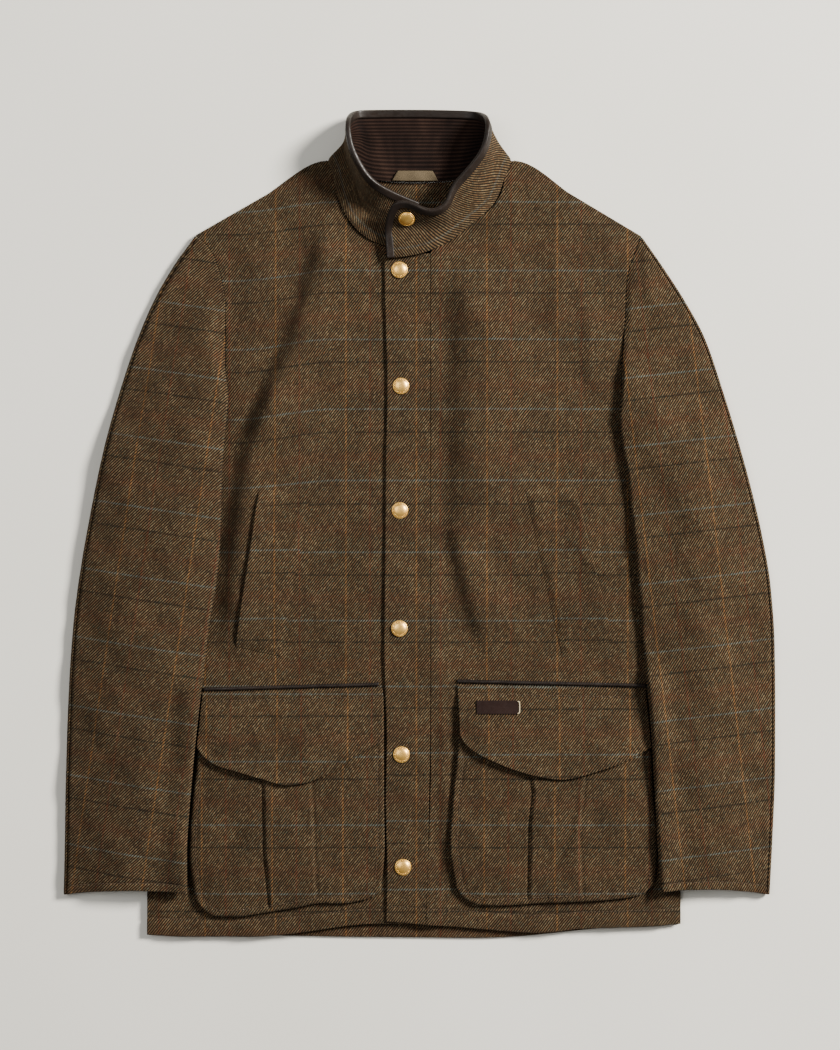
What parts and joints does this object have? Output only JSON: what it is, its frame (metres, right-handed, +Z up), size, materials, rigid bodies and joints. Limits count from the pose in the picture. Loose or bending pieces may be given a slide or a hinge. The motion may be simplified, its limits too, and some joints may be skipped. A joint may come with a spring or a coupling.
{
  "type": "stand-collar tweed jacket",
  "caption": "Hip-length tweed jacket laid flat: stand collar lined in corduroy, press-stud placket, slanted hand pockets and flapped bellows pockets; worn outdoors.",
  "frame": {"origin": "centre of the jacket's bounding box on the surface that it lies on", "axes": "+Y towards the collar along the jacket's length, +Z up from the surface, +X towards the wearer's left"},
  "size_m": [0.7532, 0.8767, 0.0496],
  "materials": {
    "tweed": "soft woollen tweed",
    "corduroy": "ribbed pile",
    "leather": "smooth, slightly glossy",
    "ribbon": "woven ribbon",
    "brass": "polished"
  },
  "bodies": {
    "root": {"back_panel": "tweed", "front_right": "tweed", "front_left": "tweed", "front_placket": "tweed", "sleeve_right": "tweed", "sleeve_left": "tweed", "collar_outer": "tweed", "collar_facing": "corduroy", "collar_binding": "leather", "collar_end_binding": "leather", "locker_loop": "ribbon", "pocket_right": "tweed", "pocket_left": "tweed", "flap_right": "tweed", "flap_left": "tweed", "flap_trim_right": "leather", "flap_trim_left": "leather", "welt_right": "tweed", "welt_left": "tweed", "snap_collar": "brass", "snap_1": "brass", "snap_2": "brass", "snap_3": "brass", "snap_4": "brass", "snap_5": "brass", "snap_6": "brass", "label_patch": "leather"}
  },
  "joints": []
}
